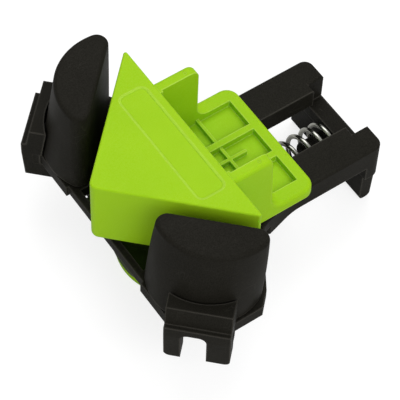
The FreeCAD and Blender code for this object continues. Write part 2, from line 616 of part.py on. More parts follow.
def make_fasteners():
    """Jaw pins and washers, and the screws that hold the mouldings together."""
    under = "plate_top - plate_thickness"
    x, y = diagonal_point("pin_along", "pin_out", 1)
    pin = headed_pin("jaw_pin_left", x + " - disc_back", y, under, "pin_radius", "pin_head_radius",
                     "pin_head", "plate_thickness + jaw_lift + pin_depth")
    mirrored(pin, "jaw_pin_right")
    washer = new_body("jaw_washer_left", x=x + " - disc_back", y=y, z="plate_top")
    spin(washer, (("pin_radius + pin_gap", "0"), ("washer_radius", "0"),
                  ("washer_radius", "jaw_lift - washer_gap"),
                  ("pin_radius + pin_gap", "jaw_lift - washer_gap")))
    mirrored(washer, "jaw_washer_right")
    for name, spot in zip(("near", "far"), SEAT_SPOTS):
        x, y = diagonal_point(spot[0], spot[1], 1)
        screw = headed_pin("seat_screw_left_" + name, x + " - disc_back", y, under + " - hook_thickness",
                           "small_radius", "small_head_radius", "small_head", "hook_thickness + small_bite")
        mirrored(screw, "seat_screw_right_" + name)
    sink = "plate_top - arm_depth - slide_gap - wing_thickness + screw_head"
    for name, (x, y) in zip(("front", "rear"), HEAD_SPOTS):
        screw = headed_pin("head_screw_left_" + name, x + " - disc_back", y, sink, "screw_radius",
                           "screw_head_radius", "screw_head", "head_bottom + screw_bite - (%s)" % sink)
        mirrored(screw, "head_screw_right_" + name)
    for name, (x, y) in zip(("front", "rear"), FOOT_SPOTS):
        headed_pin("foot_screw_" + name, x + " - disc_back", y, "screw_head", "screw_radius",
                   "screw_head_radius", "screw_head", "foot_thickness - screw_head + screw_bite - screw_relief")


def make_spring_parts():
    """Compression spring, its spigot on the crossbar and the spigot's screw."""
    guide = new_body("spring_guide", ALONG_X.inverted(), CROSS_FRONT + " - disc_back", "0", "spring_axis")
    spin(guide, (("screw_radius + pin_gap", "0"), ("spigot_radius", "0"), ("spigot_radius", "spigot_reach"),
                 ("0", "spigot_reach"), ("0", "spigot_bore"), ("screw_radius + pin_gap", "spigot_bore")))
    reach, radius = size("spigot_reach"), size("spigot_radius")
    dress(guide, "Fillet", "spigot_nose", lambda e, m: all(near(p.z, reach) for p in e)
          and near(math.hypot(m.x, m.y), radius))
    headed_pin("guide_screw", GUIDE_SEAT + " - disc_back", "0", "spring_axis", "screw_radius",
               "screw_head_radius", "screw_head",
               "%s - %s + spigot_bore - screw_relief" % (GUIDE_SEAT, CROSS_FRONT), ALONG_X.inverted())
    path = doc.addObject("Part::Helix", "spring_path")
    length = "(%s - bore_end - 2 * fit_gap - 2 * wire_radius)" % CROSS_FRONT
    bind(path, Radius="spring_radius", Height=length, Pitch=length + " / spring_turns")
    wire = doc.addObject("Part::RegularPolygon", "spring_section")
    wire.Polygon = 6
    wire.Placement.Rotation = FreeCAD.Rotation(FreeCAD.Vector(1, 0, 0), 90)
    bind(wire, Circumradius="wire_radius", Placement__Base__x="spring_radius")
    spring = doc.addObject("Part::Sweep", "spring")
    spring.Label = "spring"
    spring.Sections = [wire]
    spring.Spine = (path, ["Edge1"])
    spring.Solid = True
    spring.Frenet = True
    spring.Placement.Rotation = ALONG_X
    bind(spring, Placement__Base__x="bore_end + fit_gap + wire_radius - disc_back",
         Placement__Base__z="spring_axis")
    NODES.append(spring)


make_frame()
make_head()
make_slider_body()
make_foot_disc()
mirrored(make_jaw(), "jaw_right")
mirrored(make_seat(), "jaw_seat_right")
make_fasteners()
make_spring_parts()
doc.recompute()

for item in doc.Objects:
    if "Invalid" in item.State or "Error" in item.State:
        raise RuntimeError("%s failed: %s" % (item.Label, item.State))
for node in NODES:
    if node.Shape.isNull() or not node.Shape.isValid() or len(node.Shape.Solids) != 1:
        raise RuntimeError(node.Label + " is not one sound solid")
for node in NODES:
    node.Shape.exportStep("parts/%s.step" % node.Label)
    print("%-26s %9.1f mm3" % (node.Label, node.Shape.Volume))
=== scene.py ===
"""Spring-loaded corner clamp: finishes, small pieces, studio and camera.

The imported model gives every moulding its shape. This script gives each one its
finish, adds the round-wire spring, the recessed screws, the brackets behind the
jaws, the rim of the head's panel and the marks that the mould leaves, and sets
up a plain studio seen from the photograph's angle. Lengths are metres, unless a
class says millimetres. X runs from the head's apex to the palm plate, Z is up.
"""
import logging
from dataclasses import dataclass
from enum import Enum
from math import cos, inf, pi, radians, sin, sqrt
from typing import Dict, List, Sequence, Tuple

import bmesh
import bpy
from bpy.types import Material, Mesh, Node, NodeSocket, NodeTree, Object
from mathutils import Matrix, Vector

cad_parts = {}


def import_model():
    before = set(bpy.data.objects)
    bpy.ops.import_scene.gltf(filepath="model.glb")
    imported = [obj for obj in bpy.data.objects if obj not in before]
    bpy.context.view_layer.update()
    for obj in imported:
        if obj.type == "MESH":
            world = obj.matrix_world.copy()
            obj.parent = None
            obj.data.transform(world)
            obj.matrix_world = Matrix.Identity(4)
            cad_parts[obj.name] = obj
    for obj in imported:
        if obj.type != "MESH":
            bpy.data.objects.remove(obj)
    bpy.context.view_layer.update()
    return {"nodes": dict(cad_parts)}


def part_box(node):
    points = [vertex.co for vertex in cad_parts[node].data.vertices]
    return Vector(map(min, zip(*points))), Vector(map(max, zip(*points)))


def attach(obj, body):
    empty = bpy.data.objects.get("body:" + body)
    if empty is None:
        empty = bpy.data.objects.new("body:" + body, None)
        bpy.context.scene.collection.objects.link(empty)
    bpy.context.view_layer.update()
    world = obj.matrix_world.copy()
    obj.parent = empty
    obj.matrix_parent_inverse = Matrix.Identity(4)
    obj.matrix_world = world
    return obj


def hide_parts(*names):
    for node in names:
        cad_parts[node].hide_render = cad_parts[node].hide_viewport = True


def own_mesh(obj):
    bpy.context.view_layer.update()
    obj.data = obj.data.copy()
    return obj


Colour = Tuple[float, float, float]
Point = Tuple[float, float, float]
Spot = Tuple[float, float]

LOG = logging.getLogger("corner_clamp")
MM = 0.001
APEX_X = -40.0
QUARTER_TURN = pi / 2.0
ROOT_TWO = sqrt(2.0)
ORIGIN = (0.0, 0.0, 0.0)
WHITE = (1.0, 1.0, 1.0, 1.0)
CARRIER_NODE = "slider_body"
SOCKET_TYPES = {float: "NodeSocketFloat", int: "NodeSocketInt", tuple: "NodeSocketVector",
                type(None): "NodeSocketGeometry"}


class Body(Enum):
    """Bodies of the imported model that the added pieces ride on."""

    FRAME = "frame"
    SLIDER = "slider"


class Slot(Enum):
    """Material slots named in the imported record."""

    BLACK = "black_plastic"
    GREEN = "green_plastic"
    SCREW = "screw_steel"
    WASHER = "washer_plastic"
    SPRING = "spring_steel"


class Axis(Enum):
    """Way that a screw's shank points."""

    UP = "up"
    FORWARD = "forward"


class Side(Enum):
    """The two mirror sides of the clamp, seen from the head towards the palm plate."""

    LEFT = 1
    RIGHT = -1


def configure(thing: object, **settings: object) -> None:
    """Set properties of a node, a modifier, a lamp or a camera by name."""
    for name, value in settings.items():
        setattr(thing, name, value)


class Bench:
    """Short calls that add and wire the nodes of one tree."""

    def __init__(self, tree: NodeTree) -> None:
        """Take the tree of a material, a world, a group or a modifier."""
        self.tree = tree

    def fill(self, node: Node, values: Dict[str, object]) -> Node:
        """Set or wire inputs of a node.

        Args:
            node: the node.
            values: value or socket for each input, by the input's name or index.

        Returns:
            The same node.
        """
        for name, value in values.items():
            socket = node.inputs[int(name)] if name.isdigit() else node.inputs[name]
            if isinstance(value, NodeSocket):
                self.tree.links.new(value, socket)
            else:
                socket.default_value = value
        return node

    def add(self, kind: str, values: Dict[str, object] | None = None, **settings: object) -> Node:
        """Add a node.

        Args:
            kind: type name of the node.
            values: what its inputs are filled with.
            settings: properties of the node itself.

        Returns:
            The new node.
        """
        node = self.tree.nodes.new(kind)
        configure(node, **settings)
        return self.fill(node, values or {})

    def math(self, operation: str, first: object, second: object = 0.0,
             third: object = 0.0) -> NodeSocket:
        """Add a Math node on numbers or sockets, and give its result."""
        values = {"0": first, "1": second, "2": third}
        return self.add("ShaderNodeMath", values, operation=operation).outputs[0]

    def mix_colour(self, share: object, first: object, second: object) -> NodeSocket:
        """Mix two colours or sockets.

        Args:
            share: share of the second colour.
            first: first colour or socket.
            second: second colour or socket.

        Returns:
            The result socket.
        """
        ends = [value if isinstance(value, NodeSocket) else (*value, 1.0)
                for value in (first, second)]
        return self.add("ShaderNodeMix", {"Factor": share, "6": ends[0], "7": ends[1]},
                        data_type="RGBA", blend_type="MIX").outputs[2]

    def spread(self, value: object, low: float, high: float, to_low: float = 0.0,
               to_high: float = 1.0) -> NodeSocket:
        """Map a range of values to another, clamped, and give the result."""
        node = self.add("ShaderNodeMapRange", {
            "Value": value, "From Min": low, "From Max": high, "To Min": to_low, "To Max": to_high})
        return node.outputs["Result"]

    def noise(self, where: NodeSocket, scale: object, detail: float,
              roughness: float = 0.5, distortion: float = 0.0) -> NodeSocket:
        """Add a noise texture and give its value."""
        values = {"Vector": where, "Scale": scale, "Detail": detail, "Roughness": roughness,
                  "Distortion": distortion}
        return self.add("ShaderNodeTexNoise", values).outputs[0]


def new_group(kind: str, name: str, inputs: Dict[str, object],
              outputs: Dict[str, object]) -> Tuple[Bench, Dict[str, NodeSocket], Node]:
    """Start a node group with named sockets, whose types follow from their defaults.

    Args:
        kind: type name of the tree.
        name: name of the group.
        inputs: default of each input, None for geometry.
        outputs: the same for each output.

    Returns:
        The bench for the group, the sockets that bring its inputs, and its output node.
    """
    tree = bpy.data.node_groups.new(name, kind)
    for way, sockets in (("INPUT", inputs), ("OUTPUT", outputs)):
        for label, default in sockets.items():
            socket = tree.interface.new_socket(
                label, in_out=way, socket_type=SOCKET_TYPES[type(default)])
            if default is not None:
                socket.default_value = default
    bench = Bench(tree)
    return bench, bench.add("NodeGroupInput").outputs, bench.add("NodeGroupOutput")


def new_material(name: str) -> Tuple[Material, Bench, Node]:
    """Start a material.

    Args:
        name: name of the material.

    Returns:
        The material, the bench for its tree, and its shader.
    """
    material = bpy.data.materials.new(name)
    material.use_nodes = True
    tree = material.node_tree
    return material, Bench(tree), tree.nodes["Principled BSDF"]


class SharedEffects:
    """Shader groups that several finishes use: grain, drift of tone, and handling marks."""

    def __init__(self) -> None:
        """Build the groups once."""
        self.grain = self._build_grain()
        self.drift = self._build_drift()
        self.marks = self._build_marks()

    def place(self, bench: Bench, group: NodeTree, where: NodeSocket,
              values: Dict[str, object] | None = None) -> Dict[str, NodeSocket]:
        """Place a group, with the inputs that differ from their defaults; gives its outputs."""
        node = bench.add("ShaderNodeGroup", {"Vector": where, **(values or {})}, node_tree=group)
        return node.outputs

    def _build_grain(self) -> NodeTree:
        """Fine pebbled grain that a spark-eroded mould leaves.

        Returns:
            The group, with a height and a speckle value.
        """
        bench, given, sink = new_group(
            "ShaderNodeTree", "moulded_grain", {"Vector": ORIGIN, "Grain Scale": 3000.0},
            {"Height": 0.0, "Speckle": 0.0})
        pebble_share, fine_share, pebble_size = 0.45, 0.55, 0.55
        where, scale = given["Vector"], given["Grain Scale"]
        fine = bench.noise(where, scale, 4.0, 0.62)
        pebble = bench.add("ShaderNodeTexVoronoi", {
            "Vector": where, "Scale": bench.math("MULTIPLY", scale, pebble_size),
            "Randomness": 1.0}, feature="SMOOTH_F1")
        rounded = bench.spread(pebble.outputs["Distance"], 0.0, 0.7, 1.0, 0.0)
        height = bench.math(
            "MULTIPLY_ADD", rounded, pebble_share, bench.math("MULTIPLY", fine, fine_share))
        bench.fill(sink, {"Height": height, "Speckle": bench.spread(fine, 0.35, 0.68)})
        return bench.tree

    def _build_drift(self) -> NodeTree:
        """Slow drift of tone across a moulding, with flow streaks.

        Returns:
            The group, with a cloud value and a streak value.
        """
        bench, given, sink = new_group(
            "ShaderNodeTree", "tone_drift", {"Vector": ORIGIN, "Cloud Scale": 55.0},
            {"Cloud": 0.0, "Streak": 0.0})
        where = given["Vector"]
        cloud = bench.noise(where, given["Cloud Scale"], 2.0)
        layers = bench.add("ShaderNodeMapping", {"Vector": where, "Scale": (1.0, 1.0, 9.0)})
        streak = bench.noise(layers.outputs[0], 38.0, 3.0, 0.55, 0.6)
        bench.fill(sink, {
            "Cloud": bench.spread(cloud, 0.3, 0.7), "Streak": bench.spread(streak, 0.35, 0.7)})
        return bench.tree

    def _build_marks(self) -> NodeTree:
        """Hairline scratches and faint rubs from handling.

        Returns:
            The group, with a scratch value and a rub value.
        """
        bench, given, sink = new_group(
            "ShaderNodeTree", "handling_marks", {"Vector": ORIGIN, "Mark Scale": 90.0},
            {"Scratch": 0.0, "Rub": 0.0})
        where = given["Vector"]
        turned = bench.add("ShaderNodeMapping", {
            "Vector": where, "Rotation": (0.4, 0.2, 0.7), "Scale": (1.0, 7.0, 2.0)}).outputs[0]
        web = bench.add("ShaderNodeTexVoronoi", {
            "Vector": turned, "Scale": given["Mark Scale"]}, feature="DISTANCE_TO_EDGE")
        line = bench.spread(web.outputs["Distance"], 0.0, 0.018, 1.0, 0.0)
        patch = bench.spread(bench.noise(where, 70.0, 2.0), 0.56, 0.7)
        rub = bench.noise(turned, 26.0, 4.0, 0.7)
        bench.fill(sink, {
            "Scratch": bench.math("MULTIPLY", line, patch), "Rub": bench.spread(rub, 0.52, 0.75)})
        return bench.tree


@dataclass(frozen=True)
class MouldedPlastic:
    """Satin moulded plastic with fine grain, soft edges that are lightened partly as wear and
    partly as a painted highlight, and light handling marks.
    """

    name: str
    colour: Colour
    deep_colour: Colour
    edge_colour: Colour
    roughness: float = 0.42
    specular: float = 0.05
    grain_scale: float = 2800.0
    grain_depth: float = 0.02 * MM
    edge_radius: float = 0.4 * MM
    # The edge mask lightens edges towards edge_colour: partly wear, partly a painted highlight.
    wear_and_highlight_radius: float = 1.0 * MM
    wear_and_highlight_share: float = 0.3
    mark_share: float = 0.2
    layer_share: float = 0.1
    glow: float = 0.0

    cloud_share: float = 0.6
    streak_share: float = 0.22
    speckle_share: float = 0.16
    flat_turn: float = 0.985
    wear_and_highlight_turn: float = 0.80
    least_wear_and_highlight: float = 0.65
    cloud_roughness: float = 0.07
    speckle_roughness: float = 0.06
    rub_roughness: float = -0.07
    edge_roughness: float = -0.05
    scratch_height: float = -0.5
    bevel_samples: int = 6
    glow_radius: Colour = (0.5, 1.0, 0.12)
    glow_depth: float = 2.5 * MM

    def _softened(self, bench: Bench, radius: float) -> NodeSocket:
        """Normal that is softened over a radius at each edge."""
        values = {"Radius": radius}
        return bench.add("ShaderNodeBevel", values, samples=self.bevel_samples).outputs[0]

    def _worn_and_highlit_edge(self, bench: Bench, cloud: NodeSocket) -> NodeSocket:
        """Mask of the edges, where a softened normal leaves the true one; it lightens them partly
        as wear and partly as a painted highlight.

        Args:
            bench: bench of the material.
            cloud: slow drift that makes the wear and the painted highlight uneven.

        Returns:
            The mask socket.
        """
        plain = bench.add("ShaderNodeNewGeometry").outputs["Normal"]
        turn = bench.add(
            "ShaderNodeVectorMath", {"0": self._softened(bench, self.wear_and_highlight_radius), "1": plain},
            operation="DOT_PRODUCT")
        edge = bench.spread(turn.outputs["Value"], self.flat_turn, self.wear_and_highlight_turn)
        return bench.math("MULTIPLY", edge, bench.spread(cloud, 0.0, 1.0, self.least_wear_and_highlight, 1.0))

    def make(self, effects: SharedEffects) -> Material:
        """Build the material.

        Args:
            effects: the shared shader groups.

        Returns:
            The new material.
        """
        material, bench, shader = new_material(self.name)
        where = bench.add("ShaderNodeTexCoord").outputs["Object"]
        grain = effects.place(bench, effects.grain, where, {"Grain Scale": self.grain_scale})
        drift = effects.place(bench, effects.drift, where)
        marks = effects.place(bench, effects.marks, where)
        cloud, streak = drift["Cloud"], drift["Streak"]
        speckle, scratch = grain["Speckle"], marks["Scratch"]
        # Lighter edges: partly wear, partly a painted highlight along rounded edges.
        edge = self._worn_and_highlit_edge(bench, cloud)
        tone = self.colour
        for value, share, colour in ((cloud, self.cloud_share, self.deep_colour),
                                     (streak, self.streak_share, self.deep_colour),
                                     (speckle, self.speckle_share, self.edge_colour),
                                     (edge, self.wear_and_highlight_share, self.edge_colour),
                                     (scratch, self.mark_share, self.edge_colour)):
            tone = bench.mix_colour(bench.math("MULTIPLY", value, share), tone, colour)
        rough = self.roughness - self.cloud_roughness / 2.0
        for value, share in ((cloud, self.cloud_roughness), (speckle, self.speckle_roughness),
                             (marks["Rub"], self.rub_roughness),
                             (edge, self.edge_roughness)):
            rough = bench.math("MULTIPLY_ADD", value, share, rough)
        height = bench.math("MULTIPLY_ADD", scratch, self.scratch_height, grain["Height"])
        height = bench.math("MULTIPLY_ADD", streak, self.layer_share, height)
        bump = bench.add("ShaderNodeBump", {
            "Strength": 1.0, "Distance": self.grain_depth, "Height": height,
            "Normal": self._softened(bench, self.edge_radius)})
        bench.fill(shader, {
            "Base Color": tone, "Roughness": rough, "Normal": bump.outputs[0],
            "Specular IOR Level": self.specular, "Subsurface Weight": self.glow,
            "Subsurface Radius": self.glow_radius, "Subsurface Scale": self.glow_depth})
        return material


@dataclass(frozen=True)
class BrightSteel:
    """Drawn or plated steel with fine lines and a slightly uneven shine."""

    name: str
    colour: Colour
    dull_colour: Colour
    roughness: float
    line_scale: float
    bump_depth: float

    cloud_size: float = 0.3
    grain_size: float = 9.0
    scratch_share: float = 0.5
    grain_roughness: float = 0.12
    rub_roughness: float = 0.08

    def make(self, effects: SharedEffects) -> Material:
        """Build the material.

        Args:
            effects: the shared shader groups.

        Returns:
            The new material.
        """
        material, bench, shader = new_material(self.name)
        where = bench.add("ShaderNodeTexCoord").outputs["Object"]
        drift = effects.place(
            bench, effects.drift, where, {"Cloud Scale": self.line_scale * self.cloud_size})
        marks = effects.place(bench, effects.marks, where, {"Mark Scale": self.line_scale})
        tone = bench.mix_colour(drift["Cloud"], self.colour, self.dull_colour)
        scratched = bench.math("MULTIPLY", marks["Scratch"], self.scratch_share)
        tone = bench.mix_colour(scratched, tone, self.dull_colour)
        fine = bench.noise(where, self.line_scale * self.grain_size, 3.0)
        rough = bench.math(
            "MULTIPLY_ADD", fine, self.grain_roughness, self.roughness - self.grain_roughness / 2.0)
        rough = bench.math("MULTIPLY_ADD", marks["Rub"], self.rub_roughness, rough)
        bump = bench.add("ShaderNodeBump", {
            "Strength": 1.0, "Distance": self.bump_depth, "Height": fine})
        bench.fill(shader, {
            "Base Color": tone, "Roughness": rough, "Metallic": 1.0, "Normal": bump.outputs[0]})
        return material


# Each edge share lightens edges partly as wear and partly as a painted highlight.
FINISHES: Dict[Slot, MouldedPlastic | BrightSteel] = {
    Slot.BLACK: MouldedPlastic(
        "black_nylon", colour=(0.0084, 0.0077, 0.0053), deep_colour=(0.0060, 0.0055, 0.0038),
        edge_colour=(0.078, 0.073, 0.062), roughness=0.50, specular=0.036, grain_scale=2600.0,
        grain_depth=0.035 * MM, edge_radius=0.45 * MM, wear_and_highlight_radius=1.3 * MM, wear_and_highlight_share=0.8,
        mark_share=0.35, layer_share=0.45),
    Slot.GREEN: MouldedPlastic(
        "lime_green_plastic", colour=(0.312, 0.564, 0.0020), deep_colour=(0.280, 0.526, 0.0010),
        edge_colour=(0.56, 0.80, 0.13), grain_scale=3200.0, grain_depth=0.016 * MM,
        wear_and_highlight_share=0.85, glow=0.08),
    Slot.WASHER: MouldedPlastic(
        "washer_nylon", colour=(0.62, 0.60, 0.54), deep_colour=(0.52, 0.50, 0.44),
        edge_colour=(0.72, 0.70, 0.66), roughness=0.48, specular=0.4, grain_scale=2600.0,
        edge_radius=0.2 * MM, wear_and_highlight_radius=0.4 * MM, mark_share=0.3, glow=0.1),
    Slot.SCREW: BrightSteel(
        "zinc_plated_screw", colour=(0.60, 0.61, 0.62), dull_colour=(0.42, 0.43, 0.44),
        roughness=0.34, line_scale=420.0, bump_depth=0.01 * MM),
    Slot.SPRING: BrightSteel(
        "spring_wire_steel", colour=(0.44, 0.44, 0.40), dull_colour=(0.24, 0.24, 0.21),
        roughness=0.2, line_scale=500.0, bump_depth=0.008 * MM),
}

# The slider body's darker green is painted shade: it stands for the shade under the head, not for a
# plastic of another colour.
SHADED_CARRIER_FINISH = MouldedPlastic(
    "dark_green_plastic", colour=(0.020, 0.036, 0.0030), deep_colour=(0.015, 0.028, 0.0024),
    edge_colour=(0.05, 0.08, 0.02), roughness=0.48, specular=0.12, wear_and_highlight_share=0.4)

# The panel rim's lighter green is a painted highlight along the rim's edge, not a plastic of
# another colour.
HIGHLIT_RIM_FINISH = MouldedPlastic(
    "light_green_plastic", colour=(0.365, 0.625, 0.036), deep_colour=(0.335, 0.590, 0.026),
    edge_colour=(0.56, 0.80, 0.13), edge_radius=0.2 * MM, wear_and_highlight_radius=0.4 * MM, glow=0.08)


class Finishes:
    """Every finish of the clamp, built once and handed out."""

    def __init__(self) -> None:
        """Build the shared effects and the materials."""
        effects = SharedEffects()
        self.by_slot = {slot: finish.make(effects) for slot, finish in FINISHES.items()}
        # The slider body's darker green finish is painted shade.
        self.shaded_carrier = SHADED_CARRIER_FINISH.make(effects)
        # The panel rim's lighter green finish is a painted highlight.
        self.rim = HIGHLIT_RIM_FINISH.make(effects)

    def for_node(self, node: str, slot: Slot) -> Material:
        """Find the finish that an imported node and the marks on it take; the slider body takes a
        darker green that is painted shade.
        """
        return self.shaded_carrier if node == CARRIER_NODE else self.by_slot[slot]

    def paint(self, piece: Object, material: Material) -> None:
        """Give a piece one finish all over.

        Args:
            piece: object whose material slots are set.
            material: the finish.
        """
        if not piece.material_slots:
            piece.data.materials.append(material)
        for holder in piece.material_slots:
            holder.material = material


def link_piece(name: str, data: bpy.types.ID) -> Object:
    """Make an object and put it in the scene.

    Args:
        name: name of the object.
        data: its mesh, lamp or camera.

    Returns:
        The new object, at the origin.
    """
    piece = bpy.data.objects.new(name, data)
    bpy.context.scene.collection.objects.link(piece)
    return piece


def finished_mesh(name: str, shape: bmesh.types.BMesh) -> Mesh:
    """Turn a shape's faces outwards and make it a mesh.

    Args:
        name: name of the mesh.
        shape: the shape, which is freed.

    Returns:
        The mesh.
    """
    bmesh.ops.recalc_face_normals(shape, faces=shape.faces)
    mesh = bpy.data.meshes.new(name)
    shape.to_mesh(mesh)
    shape.free()
    return mesh


def turned_mesh(name: str, profile: Sequence[Spot], steps: int) -> Mesh:
    """Turn a profile about the upright axis.

    Args:
        name: name of the mesh.
        profile: radius and height of each corner, in order.
        steps: steps round the axis.

    Returns:
        The mesh, closed where the profile starts and ends on the axis or at one corner.
    """
    shape = bmesh.new()
    ring = [shape.verts.new((radius, 0.0, height)) for radius, height in profile]
    edges = [shape.edges.new(pair) for pair in zip(ring, ring[1:])]
    bmesh.ops.spin(shape, geom=ring + edges, cent=(0, 0, 0), axis=(0, 0, 1), angle=2.0 * pi,
                   steps=steps, use_duplicate=False)
    bmesh.ops.remove_doubles(shape, verts=shape.verts, dist=1e-7)
    return finished_mesh(name, shape)


def arc(middle: Spot, radius: float, turns: Sequence[float]) -> List[Spot]:
    """Points of a circle at given turns in radians."""
    return [(middle[0] + radius * cos(turn), middle[1] + radius * sin(turn)) for turn in turns]


def ringed_solid(name: str, rings: Sequence[Sequence[Vector]], hoop: bool = False) -> Object:
    """Skin a closed solid over rings of equal numbers of corners.

    Args:
        name: name of the object.
        rings: corners of each ring in metres, in the same order round.
        hoop: whether the last ring joins the first; otherwise both are capped.

    Returns:
        The closed solid.
    """
    shape = bmesh.new()
    loops = [[shape.verts.new(corner) for corner in ring] for ring in rings]
    for lower, upper in zip(loops, loops[1:] + (loops[:1] if hoop else [])):
        for k in range(len(lower)):
            after = (k + 1) % len(lower)
            shape.faces.new((lower[k], lower[after], upper[after], upper[k]))
    if not hoop:
        ends = [shape.faces.new(loops[0]), shape.faces.new(loops[-1])]
        bmesh.ops.triangulate(shape, faces=ends)
    return link_piece(name, finished_mesh(name, shape))


def add_modifier(work: Object, kind: str, **settings: object) -> None:
    """Add a modifier with its settings to a workpiece."""
    configure(work.modifiers.new(kind.lower(), kind), **settings)


def settled_mesh(work: Object, tools: Sequence[Object]) -> Mesh:
    """Take a workpiece's result as a plain mesh and clear the workpiece and tools away.

    Args:
        work: the workpiece with its modifiers.
        tools: the tools that its modifiers use.

    Returns:
        The mesh.
    """
    view = bpy.context.evaluated_depsgraph_get()
    mesh = bpy.data.meshes.new_from_object(work.evaluated_get(view))
    for spare in (work, *tools):
        bpy.data.objects.remove(spare)
    return mesh


def grow(name: str, tree: NodeTree, seed: Mesh, settings: Dict[str, object]) -> Object:
    """Run a geometry tree and keep its result as a plain mesh.

    Args:
        name: name of the piece.
        tree: geometry tree, which ends in Realize Instances and Set Material.
        seed: mesh that the tree starts from.
        settings: value of each named input.

    Returns:
        The finished piece, without a modifier.
    """
    piece = link_piece(name, seed)
    modifier = piece.modifiers.new("grow", "NODES")
    modifier.node_group = tree
    for item in tree.interface.items_tree:
        if item.item_type == "SOCKET" and item.in_out == "INPUT" and item.name in settings:
            modifier[item.identifier] = settings[item.name]
    view = bpy.context.evaluated_depsgraph_get()
    mesh = bpy.data.meshes.new_from_object(piece.evaluated_get(view))
    piece.modifiers.remove(modifier)
    piece.data = mesh
    return piece


def end_tree(bench: Bench, sink: Node, shape: NodeSocket, material: Material) -> NodeTree:
    """End a geometry tree in real, dressed geometry.

    Args:
        bench: bench of the tree.
        sink: its output node.
        shape: geometry to put out.
        material: finish of that geometry.

    Returns:
        The tree.
    """
    real = bench.add("GeometryNodeRealizeInstances", {"Geometry": shape})
    dressed = bench.add("GeometryNodeSetMaterial", {
        "Geometry": real.outputs[0], "Material": material})
    bench.fill(sink, {"0": dressed.outputs[0]})
    return bench.tree


@dataclass
class ReturnSpring:
    """Compression spring of round wire with closed ends, between housing and crossbar."""

    start_x: float = (63.3 + APEX_X) * MM
    length: float = 47.7 * MM
    axis_height: float = 14.6 * MM
    rise: float = 0.3 * MM
    coil_radius: float = 7.7 * MM
    wire_radius: float = 0.98 * MM
    wire_sides: int = 12
    turns: float = 8.6
    closed_turns: float = 1.3
    closed_pitch: float = 4.4 * MM
    start_turn: float = 0.78
    points_per_turn: int = 48
    travel: float = 24.0 * MM

    def tree(self, material: Material, numbers: Sequence[str]) -> NodeTree:
        """Build the coil's geometry tree.

        Args:
            material: finish of the wire.
            numbers: names of its inputs that are lengths, turns or shares.

        Returns:
            The tree.
        """
        inputs = {"Geometry": None, **dict.fromkeys(numbers, 0.0), "Points": 0}
        bench, given, sink = new_group(
            "GeometryNodeTree", "closed_end_coil", inputs, {"Geometry": None})
        line = bench.add("GeometryNodeCurvePrimitiveLine")
        evenly = bench.add("GeometryNodeResampleCurve", {
            "Curve": line.outputs[0], "Count": given["Points"]})
        index = bench.add("GeometryNodeInputIndex").outputs[0]
        share = bench.math("DIVIDE", index, bench.math("SUBTRACT", given["Points"], 1.0))
        turn = bench.math("MULTIPLY_ADD", share, given["Turns"], given["Start Turn"])
        angle = bench.math("MULTIPLY", turn, 2.0 * pi)
        far = bench.math("SUBTRACT", 1.0, given["Closed Share"])
        opened = bench.spread(share, given["Closed Share"], far)
        advance = bench.math(
            "MULTIPLY_ADD", opened, bench.math("SUBTRACT", 1.0, given["Closed Slope"]),
            bench.math("MULTIPLY", share, given["Closed Slope"]))
        along = bench.math("MULTIPLY_ADD", advance, given["Length"], given["Start"])
        across = bench.math("MULTIPLY", bench.math("COSINE", angle), given["Coil Radius"])
        lift = bench.math("MULTIPLY_ADD", bench.math("MULTIPLY", advance, advance),
                          given["Rise"], given["Height"])
        up = bench.math("MULTIPLY_ADD", bench.math("SINE", angle), given["Coil Radius"], lift)
        place = bench.add("ShaderNodeCombineXYZ", {"X": along, "Y": across, "Z": up})
        moved = bench.add("GeometryNodeSetPosition", {
            "Geometry": evenly.outputs[0], "Position": place.outputs[0]})
        section = bench.add("GeometryNodeCurvePrimitiveCircle", {
            "Resolution": self.wire_sides, "Radius": given["Wire Radius"]})
        wire = bench.add("GeometryNodeCurveToMesh", {
            "Curve": moved.outputs[0], "Profile Curve": section.outputs[0], "Fill Caps": True})
        smooth = bench.add("GeometryNodeSetShadeSmooth", {"Geometry": wire.outputs[0]})
        return end_tree(bench, sink, smooth.outputs[0], material)

    def build(self, finishes: Finishes) -> Object:
        """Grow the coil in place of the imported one.

        Args:
            finishes: the clamp's finishes.

        Returns:
            The wire coil.
        """
        settings = {"Start": self.start_x, "Length": self.length, "Height": self.axis_height,
                    "Coil Radius": self.coil_radius, "Wire Radius": self.wire_radius,
                    "Turns": self.turns, "Closed Share": self.closed_turns / self.turns,
                    "Closed Slope": self.closed_pitch * self.turns / self.length,
                    "Start Turn": self.start_turn, "Rise": self.rise}
        tree = self.tree(finishes.by_slot[Slot.SPRING], tuple(settings))
        settings["Points"] = int(self.turns * self.points_per_turn)
        piece = grow("return_spring_wire", tree, bpy.data.meshes.new("return_spring_wire"),
                     settings)
        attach(piece, Body.FRAME.value)
        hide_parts("spring")
        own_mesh(piece)
        return piece


